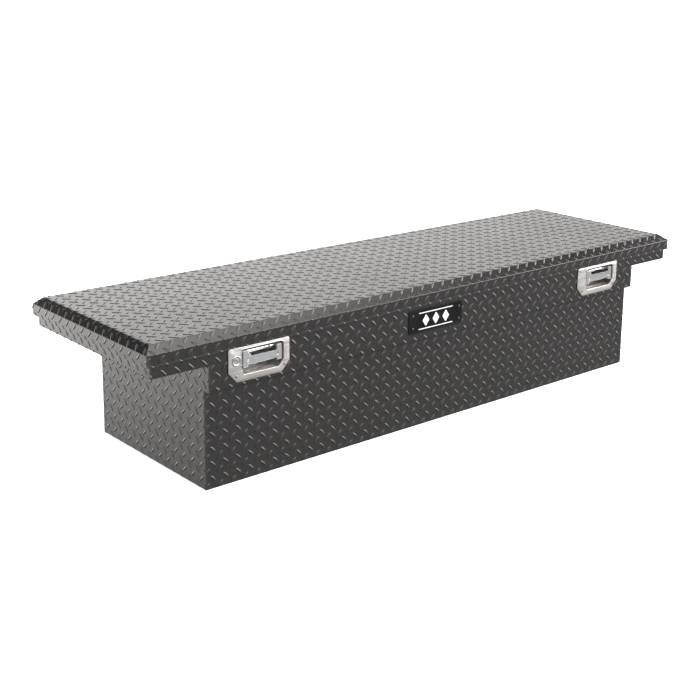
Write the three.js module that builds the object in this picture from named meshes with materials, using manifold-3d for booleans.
// Low-profile crossover truck tool box in folded tread plate.
// Millimetres, +Z up. Origin: centre of the tub's underside. +X runs along the box to the
// right, the latches face -Y and the hinge is along the back, +Y.
import * as THREE from "three";
import { mergeVertices } from "three/addons/utils/BufferGeometryUtils.js";
import Module from "manifold-3d";

const wasm = await Module();
wasm.setup();

// ---- Driving dimensions -------------------------------------------------------------
const SHEET = 1.5; // folded aluminium sheet
const GAP = 0.3; // clearance between pieces that touch

const LID_HALF_X = 885.8; // the lid's skirts, outside
const LID_HALF_Y = 257.2;
const LID_TOP = 368.3;
const BEVEL = 19.7; // how far the sloped edge runs in
const BEVEL_BOTTOM = 351.5;
const SKIRT_BOTTOM = 324.7;
const LINER_Z = 338.3; // underside of the lid's inner panel

const RIM_Z = 330; // top of the body's folded rim
const RIM_WIDTH = 20;
const WING_HALF_X = 875.5;
const WING_Z = 297; // underside of the two wings
const TUB_HALF_X = 728.7;
const STEP_Z = 234; // underside of the overhanging upper front
const UPPER_FRONT_Y = -252.1;
const LOWER_FRONT_Y = -231;
const TUB_BACK_Y = 219;
const LEDGE_BACK_Y = 248.1; // rear ledge, level with the wings
const BEND = 6; // bend radius where a wing meets the tub

const SEAL_INSET = 10; // seal centre line from the rim's outer edge
const SEAL_WIDTH = 9;

const HINGE_Y = 251.9;
const HINGE_Z = 318.5;
const BARREL_R = 3.4;
const HINGE_PIN_R = 1.5;
const HINGE_HALF_X = 840;
const KNUCKLES = 15;

const LATCH_X = 583.5; // centre of each latch opening
const HANDLE_PIVOT = [-240, 307]; // Y, Z of the handle's pin
const SHAFT = [-208, 294]; // Y, Z of the release shaft
const SHAFT_R = 5;
const HOOK_U = 80; // hook, from the latch centre
const BEARING_U = 66;
const LOCK_U = -74;
const LOCK_Z = 294;

const BADGE_X = -52.5;
const BADGE_Z = 283.8;
const BADGE_SIZE = [182, 61.5];
const BADGE_RIVET = [79, 16];

const STRUT_X = 713;
const STRUT_FOOT = [100, 60]; // Y, Z of the stud on the tub
const STRUT_HEAD = [102, 322]; // Y, Z of the stud on the lid
const STUD_R = 4;
const ROD_R = 4;
const STRUT_TUBE_R = 9;

// ---- Shapes -------------------------------------------------------------------------
// Each helper gives a manifold-3d solid made from a three.js geometry.
function solid(geometry) {
  const bare = geometry.index ? geometry.toNonIndexed() : geometry.clone();
  bare.deleteAttribute("normal");
  bare.deleteAttribute("uv");
  const merged = mergeVertices(bare, 1e-4);
  return new wasm.Manifold(
    new wasm.Mesh({
      numProp: 3,
      vertProperties: merged.attributes.position.array,
      triVerts: new Uint32Array(merged.index.array),
    }),
  );
}

function box(x0, x1, y0, y1, z0, z1) {
  const geometry = new THREE.BoxGeometry(x1 - x0, y1 - y0, z1 - z0);
  return solid(geometry.translate((x0 + x1) / 2, (y0 + y1) / 2, (z0 + z1) / 2));
}

function outline(points) {
  const clockwise = THREE.ShapeUtils.isClockWise(points.map(([a, b]) => new THREE.Vector2(a, b)));
  const ordered = clockwise ? [...points].reverse() : points;
  return new THREE.Shape(ordered.map(([a, b]) => new THREE.Vector2(a, b)));
}

function extrude(shape, depth) {
  return new THREE.ExtrudeGeometry(shape, { depth, bevelEnabled: false, curveSegments: 6 });
}

// Outline in (Y, Z), extruded from x0 to x1.
function alongX(points, x0, x1) {
  const turn = new THREE.Matrix4().makeBasis(
    new THREE.Vector3(0, 1, 0),
    new THREE.Vector3(0, 0, 1),
    new THREE.Vector3(1, 0, 0),
  );
  return solid(extrude(outline(points), x1 - x0).applyMatrix4(turn).translate(x0, 0, 0));
}

// Outline in (X, Z), extruded from y0 to y1.
function alongY(points, y0, y1) {
  const turn = new THREE.Matrix4().makeBasis(
    new THREE.Vector3(1, 0, 0),
    new THREE.Vector3(0, 0, 1),
    new THREE.Vector3(0, -1, 0),
  );
  return solid(extrude(outline(points), y1 - y0).applyMatrix4(turn).translate(0, y1, 0));
}

// Round bar parallel to an axis, from a to b along it; the other two coordinates are at.
function bar(axis, radius, a, b, at, sides = 16) {
  const geometry = new THREE.CylinderGeometry(radius, radius, b - a, sides);
  const middle = (a + b) / 2;
  if (axis === "x") geometry.rotateZ(-Math.PI / 2).translate(middle, at[0], at[1]);
  if (axis === "y") geometry.translate(at[0], middle, at[1]);
  if (axis === "z") geometry.rotateX(Math.PI / 2).translate(at[0], at[1], middle);
  return solid(geometry);
}

function join(first, ...others) {
  return others.reduce((sum, piece) => sum.add(piece), first);
}

function cut(first, ...others) {
  return others.reduce((left, piece) => left.subtract(piece), first);
}

// A band of constant thickness along a line of points in a plane, on the line's left side.
function strip(points, thickness) {
  const inner = points.map((point, i) => {
    const before = points[Math.max(i - 1, 0)];
    const after = points[Math.min(i + 1, points.length - 1)];
    const normals = [[before, point], [point, after]]
      .filter(([a, b]) => a !== b)
      .map(([a, b]) => {
        const length = Math.hypot(b[0] - a[0], b[1] - a[1]);
        return [-(b[1] - a[1]) / length, (b[0] - a[0]) / length];
      });
    const sum = normals.reduce((s, n) => [s[0] + n[0], s[1] + n[1]], [0, 0]);
    const scale = thickness / (sum[0] * normals[0][0] + sum[1] * normals[0][1]);
    return [point[0] + sum[0] * scale, point[1] + sum[1] * scale];
  });
  return [...points, ...inner.reverse()];
}

// Points of an arc in a plane, angles in degrees.
function arc(centre, radius, from, to, steps) {
  return Array.from({ length: steps + 1 }, (_, i) => {
    const angle = THREE.MathUtils.degToRad(from + ((to - from) * i) / steps);
    return [centre[0] + radius * Math.cos(angle), centre[1] + radius * Math.sin(angle)];
  });
}

// ---- Finishes -----------------------------------------------------------------------
const finishes = {
  powder: { color: 0x2b2b2c, roughness: 0.55, metalness: 0.3 },
  bare: { color: 0xa8aaac, roughness: 0.4, metalness: 0.9 },
  stainless: { color: 0xcfcbc8, roughness: 0.3, metalness: 1 },
  chrome: { color: 0xe6e8ea, roughness: 0.12, metalness: 1 },
  zinc: { color: 0xb9bbb8, roughness: 0.35, metalness: 0.95 },
  rubber: { color: 0x161616, roughness: 0.85, metalness: 0 },
  badge: { color: 0x0c0c0d, roughness: 0.25, metalness: 0 },
  strut: { color: 0x141414, roughness: 0.4, metalness: 0.5 },
  foam: { color: 0xd9d3bd, roughness: 0.9, metalness: 0 },
};

function part(name, finish, made) {
  const mesh = made.getMesh();
  const geometry = new THREE.BufferGeometry();
  geometry.setAttribute("position", new THREE.BufferAttribute(mesh.vertProperties, 3));
  geometry.setIndex(new THREE.BufferAttribute(mesh.triVerts, 1));
  const piece = new THREE.Mesh(geometry, new THREE.MeshStandardMaterial(finishes[finish]));
  piece.name = name;
  return piece;
}

// ---- Body ---------------------------------------------------------------------------
const latchCentres = { left: -LATCH_X, right: LATCH_X };

// Upper front with its rim and wing ends, the ledge under it, and the recessed lower front.
function frontPanel() {
  const y = UPPER_FRONT_Y;
  const upper = strip([[y + RIM_WIDTH, RIM_Z], [y, RIM_Z], [y, WING_Z]], SHEET);
  const lower = strip([[y, RIM_Z - 10], [y, STEP_Z], [LOWER_FRONT_Y, STEP_Z], [LOWER_FRONT_Y, 0]], SHEET);
  let panel = join(
    alongX(upper, -WING_HALF_X, WING_HALF_X),
    alongX(lower, -TUB_HALF_X, TUB_HALF_X),
  );
  for (const x of Object.values(latchCentres)) {
    panel = cut(panel, box(x - 62.3, x + 58.3, y - 5, y + 5, 255.5, 320.4));
    for (const [u, z] of LATCH_RIVETS) {
      panel = cut(panel, bar("y", RIVET_HOLE_R, y - 5, y + 5, [x + u, z], 12));
    }
  }
  panel = cut(panel, bar("y", LOCK_BARREL_R + GAP, y - 5, y + 5, [-LATCH_X + LOCK_U, LOCK_Z], 24));
  for (const [x, z] of badgeRivetPlaces()) {
    panel = cut(panel, bar("y", RIVET_HOLE_R, y - 5, y + 5, [x, z], 12));
  }
  return panel;
}

// Tub back, the ledge level with the wings, and the rear rim.
function backPanel() {
  const profile = strip(
    [[TUB_BACK_Y, 0], [TUB_BACK_Y, WING_Z], [LEDGE_BACK_Y, WING_Z], [LEDGE_BACK_Y, RIM_Z],
      [LEDGE_BACK_Y - RIM_WIDTH, RIM_Z]],
    SHEET,
  );
  const wide = alongX(profile, -WING_HALF_X, WING_HALF_X);
  const ends = [-1, 1].map((side) => {
    const near = TUB_HALF_X;
    const far = WING_HALF_X + 5;
    const [x0, x1] = side < 0 ? [-far, -near] : [near, far];
    return box(x0, x1, TUB_BACK_Y - 10, LEDGE_BACK_Y - SHEET - GAP, -5, RIM_Z - SHEET - 5);
  });
  return cut(wide, ...ends);
}

// One folded sheet: tub end, wing, wing end and rim.
function endPanel(side) {
  const wall = TUB_HALF_X;
  const profile = [
    [wall, SHEET + GAP],
    ...arc([wall + BEND, WING_Z - BEND], BEND, 180, 90, 4),
    [WING_HALF_X, WING_Z],
    [WING_HALF_X, RIM_Z],
    [WING_HALF_X - RIM_WIDTH, RIM_Z],
  ];
  const sheet = strip(profile, SHEET).map(([x, z]) => [side * x, z]);
  const front = UPPER_FRONT_Y + SHEET + GAP;
  const back = LEDGE_BACK_Y - SHEET - GAP;
  const tubFront = LOWER_FRONT_Y + SHEET + GAP;
  const tubBack = TUB_BACK_Y - SHEET - GAP;
  const reach = side * (wall + BEND + 1);
  const tub = [Math.min(side * (wall - 5), reach), Math.max(side * (wall - 5), reach)];
  return cut(
    alongY(sheet, front, back),
    box(...tub, front - 5, tubFront, -5, STEP_Z + SHEET + GAP),
    box(...tub, tubBack, back + 5, -5, WING_Z + SHEET + GAP),
    cornerRelief(side),
  );
}

// The long rims run through; the end rims stop short of them.
function cornerRelief(side) {
  const x0 = side * (WING_HALF_X - RIM_WIDTH - 5);
  const x1 = side * (WING_HALF_X + 5);
  const [low, high] = [Math.min(x0, x1), Math.max(x0, x1)];
  const frontEdge = UPPER_FRONT_Y + RIM_WIDTH + GAP;
  const backEdge = LEDGE_BACK_Y - RIM_WIDTH - GAP;
  const top = RIM_Z - SHEET - GAP;
  return join(
    box(low, high, UPPER_FRONT_Y - 5, frontEdge, top, RIM_Z + 5),
    box(low, high, backEdge, LEDGE_BACK_Y + 5, top, RIM_Z + 5),
  );
}

function floorPanel() {
  const x = TUB_HALF_X;
  return box(-x, x, LOWER_FRONT_Y + SHEET + GAP, TUB_BACK_Y - SHEET - GAP, 0, SHEET);
}

function rimSeal() {
  const x = WING_HALF_X - SEAL_INSET + SEAL_WIDTH / 2;
  const y0 = UPPER_FRONT_Y + SEAL_INSET - SEAL_WIDTH / 2;
  const y1 = LEDGE_BACK_Y - SEAL_INSET + SEAL_WIDTH / 2;
  const z0 = RIM_Z + GAP;
  const z1 = LINER_Z - GAP;
  const outer = box(-x, x, y0, y1, z0, z1);
  const w = SEAL_WIDTH;
  return cut(outer, box(w - x, x - w, y0 + w, y1 - w, z0 - 5, z1 + 5));
}

// ---- Lid ----------------------------------------------------------------------------
// Frustum between two rectangles, as a box whose top corners are pulled in.
function tapered(x0, y0, z0, x1, y1, z1) {
  const geometry = new THREE.BoxGeometry(2, 2, 2);
  const position = geometry.attributes.position;
  for (let i = 0; i < position.count; i++) {
    const high = position.getZ(i) > 0;
    position.setXYZ(
      i,
      Math.sign(position.getX(i)) * (high ? x1 : x0),
      Math.sign(position.getY(i)) * (high ? y1 : y0),
      high ? z1 : z0,
    );
  }
  return solid(geometry);
}

const BEVEL_TURN = Math.atan2(BEVEL, LID_TOP - BEVEL_BOTTOM); // fold from skirt to bevel

// The lid's outer form moved inwards by inset, square to each face.
function lidBlock(inset, bottom) {
  const x = LID_HALF_X - inset;
  const y = LID_HALF_Y - inset;
  const fold = BEVEL_BOTTOM - inset * Math.tan(BEVEL_TURN / 2);
  const run = BEVEL - inset + inset * Math.tan((Math.PI / 2 - BEVEL_TURN) / 2);
  return join(
    box(-x, x, -y, y, bottom, fold),
    tapered(x, y, fold, x - run, y - run, LID_TOP - inset),
  );
}

function lidShell() {
  return cut(lidBlock(0, SKIRT_BOTTOM), lidBlock(SHEET, SKIRT_BOTTOM - 5));
}

// The inner panel, a shallow tray turned up round its edge.
function lidLiner() {
  const x = LID_HALF_X - SHEET - GAP;
  const yFront = LID_HALF_Y - SHEET - GAP;
  const yBack = HINGE_Y - 2;
  const outer = box(-x, x, -yFront, yBack, LINER_Z, LINER_Z + 12);
  const t = SHEET;
  return cut(outer, box(t - x, x - t, t - yFront, yBack - t, LINER_Z + t, LINER_Z + 20));
}

function lidCore() {
  const clear = SHEET + 3;
  const x = LID_HALF_X - clear;
  const y = LID_HALF_Y - clear;
  const z0 = LINER_Z + SHEET + GAP;
  const z1 = LID_TOP - SHEET - GAP;
  const block = join(
    box(-x, x, -y, HINGE_Y - 5, z0, BEVEL_BOTTOM - 2),
    cut(
      tapered(x, y, BEVEL_BOTTOM - 2, x - BEVEL, y - BEVEL, z1),
      box(-x, x, HINGE_Y - 5, LID_HALF_Y, z0, z1 + 5),
    ),
  );
  return block;
}

// ---- Hinge --------------------------------------------------------------------------
// Alternate knuckles on one pin: even ones belong to the body leaf, odd ones to the lid leaf.
function hingeLeaf(parity) {
  const pitch = (2 * HINGE_HALF_X) / KNUCKLES;
  const onBody = parity === 0;
  const thickness = 1.2;
  const y0 = onBody ? LEDGE_BACK_Y + GAP : HINGE_Y + 2.3;
  const plate = onBody
    ? box(-HINGE_HALF_X, HINGE_HALF_X, y0, y0 + thickness, HINGE_Z - 20, HINGE_Z - 1)
    : box(-HINGE_HALF_X, HINGE_HALF_X, y0, y0 + thickness, HINGE_Z + 1, HINGE_Z + 26);
  let leaf = plate;
  for (let i = 0; i < KNUCKLES; i++) {
    const x0 = -HINGE_HALF_X + i * pitch + 0.5;
    const x1 = x0 + pitch - 1;
    const around = bar("x", BARREL_R, x0, x1, [HINGE_Y, HINGE_Z], 12);
    const clear = box(x0 - 1, x1 + 1, y0 - 1, y0 + 2, HINGE_Z - 4.2, HINGE_Z + 4.2);
    leaf = i % 2 === parity ? leaf.add(around) : leaf.subtract(clear);
  }
  const bore = bar("x", HINGE_PIN_R + 0.2, -HINGE_HALF_X - 1, HINGE_HALF_X + 1, [HINGE_Y, HINGE_Z], 12);
  return leaf.subtract(bore);
}

function hingePin() {
  return bar("x", HINGE_PIN_R, -HINGE_HALF_X, HINGE_HALF_X, [HINGE_Y, HINGE_Z], 12);
}

// ---- Latches ------------------------------------------------------------------------
// U is measured from the latch's centre, to the right.
const PLATE_OUTLINE = [
  [-73.5, 244.5], [49.5, 244.5], [71.5, 268.5],
  ...arc([65.5, 318.3], 6, 0, 90, 3),
  ...arc([-89.5, 318.3], 6, 90, 180, 3),
  [-95.5, 268.5],
];
const DISH_TOP = 318;
const DISH_FLOOR = [259.5, 270]; // height of the dish's sloping floor at its mouth and its back
const OPENING = [
  [-55, DISH_FLOOR[0]], [41, DISH_FLOOR[0]], [56, 275], [56, DISH_TOP], [-60, DISH_TOP], [-60, 275],
];
const PLATE_Y = [-254.9, -253.6];
const DISH_BACK_Y = -228; // inner face of the dish's rear wall
const DISH_SHEET = 1.3;
const LATCH_RIVETS = [[-75, 258.7], [58, 261]];
const RIVET_HOLE_R = 2.2;
const RIVET_R = 1.8;
const HANDLE_PIN_R = 2.5;
const LOCK_BARREL_R = 10;
const LOCK_BEZEL_R = 12.25;
const PLUG_R = 7;

const shift = (points, x) => points.map(([u, z]) => [u + x, z]);

// The pressed dish from its mouth back, every wall moved outwards by grow.
function dish(x, mouth, grow) {
  const back = DISH_BACK_Y + grow;
  const top = DISH_TOP + grow;
  const walls = OPENING.map(([u, z]) => [x + u + grow * Math.sign(u), z > DISH_TOP - 1 ? top : z - grow]);
  const profile = [[mouth, DISH_FLOOR[0] - grow], [back, DISH_FLOOR[1] - grow], [back, top], [mouth, top]];
  return alongY(walls, mouth, back).intersect(alongX(profile, x - 80, x + 80));
}

function latchPlate(side) {
  const x = latchCentres[side];
  const [y0, y1] = PLATE_Y;
  const flange = alongY(shift(PLATE_OUTLINE, x), y0, y1);
  const shell = dish(x, y1 - 0.5, DISH_SHEET);
  const hollow = dish(x, y0 - 1, 0);
  const slot = box(x - 9, x + 9, DISH_BACK_Y - 3, DISH_BACK_Y + 5, 295.5, 311.5);
  const pin = bar("x", HANDLE_PIN_R + GAP, x - 70, x + 70, HANDLE_PIVOT, 16);
  let plate = cut(join(flange, shell), hollow, slot, pin);
  for (const [u, z] of LATCH_RIVETS) {
    plate = cut(plate, bar("y", RIVET_HOLE_R, y0 - 5, y1 + 5, [x + u, z], 12));
  }
  if (side === "left") {
    plate = cut(plate, bar("y", LOCK_BARREL_R + GAP, y0 - 5, y1 + 5, [x + LOCK_U, LOCK_Z], 24));
  }
  return plate;
}

function latchGasket(side) {
  const x = latchCentres[side];
  const sheet = alongY(shift(PLATE_OUTLINE, x), UPPER_FRONT_Y - 1.2, UPPER_FRONT_Y - GAP);
  const hole = box(x - 62.5, x + 58.5, UPPER_FRONT_Y - 5, UPPER_FRONT_Y + 5, 255.3, 320.4);
  let gasket = cut(sheet, hole);
  for (const [u, z] of LATCH_RIVETS) {
    gasket = cut(gasket, bar("y", RIVET_HOLE_R, -260, -245, [x + u, z], 12));
  }
  if (side === "left") {
    gasket = cut(gasket, bar("y", LOCK_BARREL_R + GAP, -260, -245, [x + LOCK_U, LOCK_Z], 24));
  }
  return gasket;
}

// Grip bar with two taller end blocks, cheeks back to the pivot tube, and the tang behind.
function latchHandle(side) {
  const x = latchCentres[side];
  const [py, pz] = HANDLE_PIVOT;
  const half = 53;
  const grip = box(x - half, x + half, -251.5, -247.5, 279.5, 297.5);
  const cheekShape = [
    [-248.5, 280], [-244, 280], [-242, 296], [-235.5, 302], [-235.5, 309], [-240, 312], [-248.5, 311],
  ];
  let handle = join(grip, bar("x", 4.5, x - half, x + half, HANDLE_PIVOT, 16));
  for (const end of [-1, 1]) {
    const outer = end * half;
    const block = [Math.min(outer, outer - end * 14), Math.max(outer, outer - end * 14)];
    const cheek = [Math.min(outer, outer - end * 2.5), Math.max(outer, outer - end * 2.5)];
    handle = join(
      handle,
      box(x + block[0], x + block[1], -251.5, -248, 273, 311),
      alongX(cheekShape, x + cheek[0], x + cheek[1]),
    );
  }
  handle = join(handle, box(x - 6, x + 6, py + 3, -222.5, pz - 2, pz + 2));
  return cut(handle, bar("x", HANDLE_PIN_R + GAP, x - 70, x + 70, HANDLE_PIVOT, 16));
}

function handlePin(side) {
  const x = latchCentres[side];
  return bar("x", HANDLE_PIN_R, x - 63.5, x + 59.5, HANDLE_PIVOT, 16);
}

// Torsion spring round the pivot tube, with one leg on the dish and one on the handle.
function handleSpring(side) {
  const x = latchCentres[side] + 20;
  const [py, pz] = HANDLE_PIVOT;
  const turns = 4;
  const wire = 0.6;
  const radius = 5.6;
  const points = [];
  for (let i = 0; i <= turns * 10; i++) {
    const angle = (i / 10) * 2 * Math.PI;
    points.push(new THREE.Vector3(x + i * 0.16, py + radius * Math.cos(angle), pz + radius * Math.sin(angle)));
  }
  const curve = new THREE.CatmullRomCurve3(points);
  const section = new THREE.Shape(arc([0, 0], wire, 0, 300, 5).map(([a, b]) => new THREE.Vector2(a, b)));
  const geometry = new THREE.ExtrudeGeometry(section, {
    steps: turns * 12,
    extrudePath: curve,
    bevelEnabled: false,
  });
  return solid(geometry);
}

// Dome-headed rivet through the front, its head facing out.
function rivet(x, z, headY, headR, headHeight, shankEnd) {
  const profile = [
    new THREE.Vector2(0, 0),
    new THREE.Vector2(RIVET_R, 0),
    new THREE.Vector2(RIVET_R, shankEnd - headY),
    new THREE.Vector2(headR, shankEnd - headY),
    new THREE.Vector2(headR * 0.8, shankEnd - headY + headHeight * 0.7),
    new THREE.Vector2(headR * 0.4, shankEnd - headY + headHeight * 0.95),
    new THREE.Vector2(0, shankEnd - headY + headHeight),
  ];
  const geometry = new THREE.LatheGeometry(profile, 12);
  return solid(geometry.rotateX(Math.PI).translate(x, shankEnd, z));
}

// ---- Lock ---------------------------------------------------------------------------
const lockAt = [-LATCH_X + LOCK_U, LOCK_Z];

function lockHousing() {
  const bezel = bar("y", LOCK_BEZEL_R, -256.9, -255.2, lockAt, 28);
  const barrel = bar("y", LOCK_BARREL_R, -255.6, -227, lockAt, 24);
  return cut(join(bezel, barrel), bar("y", PLUG_R + GAP, -260, -220, lockAt, 20));
}

function lockPlug() {
  const [x, z] = lockAt;
  const plug = join(bar("y", PLUG_R, -256.4, -226, lockAt, 20), box(x - 3, x + 3, -226.5, -222, z - 3, z + 3));
  return cut(plug, box(x - 0.8, x + 0.8, -258, -248, z - 3.5, z + 3.5));
}

// Arm on the plug's square end; it hangs down when unlocked and points inwards when locked.
function lockCam() {
  const [x, z] = lockAt;
  const arm = [
    [x - 7, z + 6], [x - 7, z - 20], [x - 4, z - 28], [x + 4, z - 28], [x + 7, z - 20], [x + 7, z + 6],
  ];
  const square = 3 + GAP;
  return cut(
    alongY(arm, -225.4, -222.4),
    box(x - square, x + square, -230, -218, z - square, z + square),
  );
}

function lockNut() {
  const nut = bar("y", 14, -250.2, -246.2, lockAt, 6);
  return cut(nut, bar("y", LOCK_BARREL_R + GAP, -255, -240, lockAt, 24));
}

// ---- Release shaft ------------------------------------------------------------------
function releaseShaft() {
  return bar("x", SHAFT_R, -LATCH_X - 20, LATCH_X + HOOK_U + 14, SHAFT, 12);
}

function clamped(shape, x0, x1, hubR) {
  const piece = join(alongX(shape, x0, x1), bar("x", hubR, x0, x1, SHAFT, 16));
  return cut(piece, bar("x", SHAFT_R + GAP, x0 - 1, x1 + 1, SHAFT, 16));
}

function releaseLever(side) {
  const x = latchCentres[side];
  const [sy, sz] = SHAFT;
  const arm = [[sy - 3, sz - 7], [sy - 14, sz + 5.5], [sy - 14, sz + 9.8], [sy - 9, sz + 9.8], [sy + 3, sz + 7]];
  return clamped(arm, x - 5, x + 5, 8.5);
}

function latchHook(side) {
  const x = latchCentres[side] + HOOK_U;
  const [sy, sz] = SHAFT;
  const hook = [
    [sy - 5, sz - 6], [sy + 5, sz - 6], [sy + 4, sz + 26], [sy + 11, sz + 26], [sy + 12, sz + 27.5],
    [sy + 1, sz + 33], [sy - 5, sz + 31],
  ];
  return clamped(hook, x - 2.5, x + 2.5, 9);
}

function shaftBearing(x) {
  const [sy, sz] = SHAFT;
  const inner = UPPER_FRONT_Y + SHEET + GAP;
  const web = [[inner, sz - 12], [sy, sz - 9], [sy + 9, sz], [sy, sz + 9], [inner, sz + 12]];
  const foot = box(x - 2, x + 12, inner, inner + 2, sz - 14, sz + 14);
  return cut(
    join(alongX(web, x - 2, x + 2), bar("x", 9, x - 2, x + 2, SHAFT, 16), foot),
    bar("x", SHAFT_R + GAP, x - 5, x + 15, SHAFT, 16),
  );
}

// Bail on the lid's inner panel that the hook holds down.
function striker(side) {
  const x = latchCentres[side] + HOOK_U;
  const [sy, sz] = SHAFT;
  const y = sy + 8.5;
  const z = sz + 22.5;
  const reach = 13;
  const top = LINER_Z - GAP;
  return join(
    box(x - 24, x + 24, y - 9, y + 9, top - 1.6, top),
    bar("x", 3, x - reach - 3, x + reach + 3, [y, z], 12),
    box(x - reach - 3, x - reach + 3, y - 3, y + 3, z, top - 1),
    box(x + reach - 3, x + reach + 3, y - 3, y + 3, z, top - 1),
  );
}

// ---- Gas struts ---------------------------------------------------------------------
const strutRun = [STRUT_HEAD[0] - STRUT_FOOT[0], STRUT_HEAD[1] - STRUT_FOOT[1]];
const strutLength = Math.hypot(...strutRun);
const strutTilt = Math.atan2(strutRun[0], strutRun[1]); // from +Z towards +Y

// Turns a piece drawn upright at the foot stud to lie along the strut.
function alongStrut(side, made) {
  return made
    .rotate([THREE.MathUtils.radToDeg(-strutTilt), 0, 0])
    .translate([side * STRUT_X, ...STRUT_FOOT]);
}

function strutEye(s) {
  return cut(bar("x", 8, -3, 3, [0, s], 16), bar("x", STUD_R + GAP, -5, 5, [0, s], 16));
}

function strutTube(side) {
  const top = strutLength - 34;
  const neck = cut(box(-3, 3, -5, 5, 6, 16), bar("x", STUD_R + GAP, -5, 5, [0, 0], 16));
  const tube = bar("z", STRUT_TUBE_R, 14, top, [0, 0], 16);
  const bore = bar("z", ROD_R + GAP, 42, top + 5, [0, 0], 16);
  return alongStrut(side, cut(join(strutEye(0), neck, tube), bore));
}

function strutRod(side) {
  const s = strutLength;
  const neck = cut(box(-3, 3, -5, 5, s - 14, s - 6), bar("x", STUD_R + GAP, -5, 5, [0, s], 16));
  return alongStrut(side, join(strutEye(s), neck, bar("z", ROD_R, 48, s - 10, [0, 0], 16)));
}

// Stud plate on the tub end.
function strutFoot(side) {
  const plateX = TUB_HALF_X - SHEET - GAP;
  const [y, z] = STRUT_FOOT;
  const xs = (a, b) => [Math.min(side * a, side * b), Math.max(side * a, side * b)];
  return join(
    box(...xs(plateX - 2, plateX), y - 18, y + 18, z - 14, z + 14),
    bar("x", STUD_R, ...xs(STRUT_X - 5, plateX - 1), [y, z], 16),
    bar("x", STUD_R + 3, ...xs(STRUT_X + 4, plateX - 1), [y, z], 16),
  );
}

// Angle bracket under the lid; its stud stands beside the rod's eye.
function strutHead(side) {
  const top = LINER_Z - GAP;
  const [y, z] = STRUT_HEAD;
  const xs = (a, b) => [Math.min(side * a, side * b), Math.max(side * a, side * b)];
  const web = [[y - 22, top], [y - 9, z - 9], [y + 9, z - 9], [y + 22, top]];
  return join(
    box(...xs(STRUT_X + 7.5, STRUT_X + 30), y - 22, y + 22, top - 1.8, top),
    alongX(web, ...xs(STRUT_X + 7.5, STRUT_X + 9.5)),
    bar("x", STUD_R, ...xs(STRUT_X + 3.5, STRUT_X + 8), [y, z], 16),
  );
}

// ---- Name plate ---------------------------------------------------------------------
function badgeRivetPlaces() {
  const [dx, dz] = BADGE_RIVET;
  return [[-1, 1], [1, 1], [-1, -1], [1, -1]].map(([sx, sz]) => [BADGE_X + sx * dx, BADGE_Z + sz * dz]);
}

const BADGE_Y = [-254.3, -252.4];

function namePlate() {
  const [w, h] = BADGE_SIZE;
  const r = 5;
  const [x, z] = [BADGE_X, BADGE_Z];
  const rounded = [
    ...arc([x + w / 2 - r, z + h / 2 - r], r, 0, 90, 3),
    ...arc([x - w / 2 + r, z + h / 2 - r], r, 90, 180, 3),
    ...arc([x - w / 2 + r, z - h / 2 + r], r, 180, 270, 3),
    ...arc([x + w / 2 - r, z - h / 2 + r], r, 270, 360, 3),
  ];
  return badgeRivetPlaces().reduce(
    (plate, [rx, rz]) => cut(plate, bar("y", RIVET_HOLE_R, -260, -245, [rx, rz], 12)),
    alongY(rounded, ...BADGE_Y),
  );
}

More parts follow.
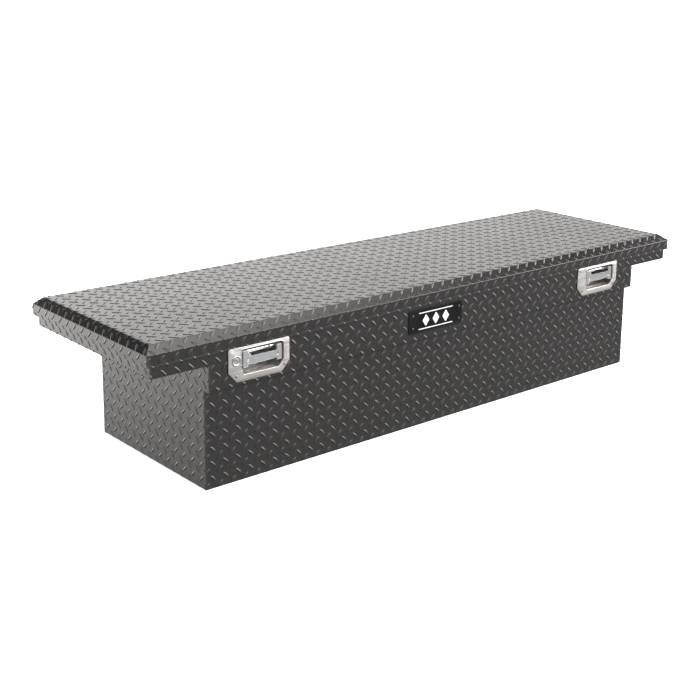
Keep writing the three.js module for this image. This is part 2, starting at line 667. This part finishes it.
// ---- Assembly -----------------------------------------------------------------------
const body = new THREE.Group();
body.add(
  part("front_panel", "powder", frontPanel()),
  part("back_panel", "powder", backPanel()),
  part("left_end_panel", "powder", endPanel(-1)),
  part("right_end_panel", "powder", endPanel(1)),
  part("floor_panel", "powder", floorPanel()),
  part("rim_seal", "rubber", rimSeal()),
  part("hinge_body_leaf", "zinc", hingeLeaf(0)),
  part("hinge_pin", "zinc", hingePin()),
  part("name_plate", "badge", namePlate()),
  part("lock_housing", "chrome", lockHousing()),
  part("lock_nut", "zinc", lockNut()),
);
badgeRivetPlaces().forEach(([x, z], i) => {
  const made = rivet(x, z, BADGE_Y[0] - GAP, 4, 1.9, UPPER_FRONT_Y + 4);
  body.add(part("name_plate_rivet_" + (i + 1), "powder", made));
});
const bearingPlaces = { left: -LATCH_X + BEARING_U, centre: 0, right: LATCH_X + BEARING_U };
for (const [place, x] of Object.entries(bearingPlaces)) {
  body.add(part("shaft_bearing_" + place, "zinc", shaftBearing(x)));
}

const lid = new THREE.Group();
lid.add(
  part("lid_shell", "powder", lidShell()),
  part("lid_core", "foam", lidCore()),
  part("lid_liner", "powder", lidLiner()),
  part("hinge_lid_leaf", "zinc", hingeLeaf(1)),
);

const release = new THREE.Group();
release.add(part("release_shaft", "zinc", releaseShaft()));

const lock = new THREE.Group();
lock.add(part("lock_plug", "chrome", lockPlug()), part("lock_cam", "zinc", lockCam()));

const handles = new THREE.Group();
for (const side of ["left", "right"]) {
  body.add(
    part("latch_plate_" + side, "stainless", latchPlate(side)),
    part("latch_gasket_" + side, "rubber", latchGasket(side)),
    part("handle_pin_" + side, "zinc", handlePin(side)),
    part("handle_spring_" + side, "zinc", handleSpring(side)),
  );
  LATCH_RIVETS.forEach(([u, z], i) => {
    const made = rivet(latchCentres[side] + u, z, PLATE_Y[0] - GAP, 3.2, 1.3, UPPER_FRONT_Y + 4);
    body.add(part("latch_rivet_" + side + "_" + (i + 1), "stainless", made));
  });
  handles.add(part("latch_handle_" + side, "chrome", latchHandle(side)));
  release.add(
    part("release_lever_" + side, "zinc", releaseLever(side)),
    part("latch_hook_" + side, "zinc", latchHook(side)),
  );
  lid.add(part("striker_" + side, "zinc", striker(side)));
}

const struts = new THREE.Group();
for (const [place, side] of [["left", -1], ["right", 1]]) {
  struts.add(
    part("strut_tube_" + place, "strut", strutTube(side)),
    part("strut_rod_" + place, "chrome", strutRod(side)),
  );
  body.add(part("strut_foot_" + place, "zinc", strutFoot(side)));
  lid.add(part("strut_head_" + place, "zinc", strutHead(side)));
}

const toolBox = new THREE.Group();
toolBox.add(body, lid, release, lock, handles, struts);

export default toolBox;
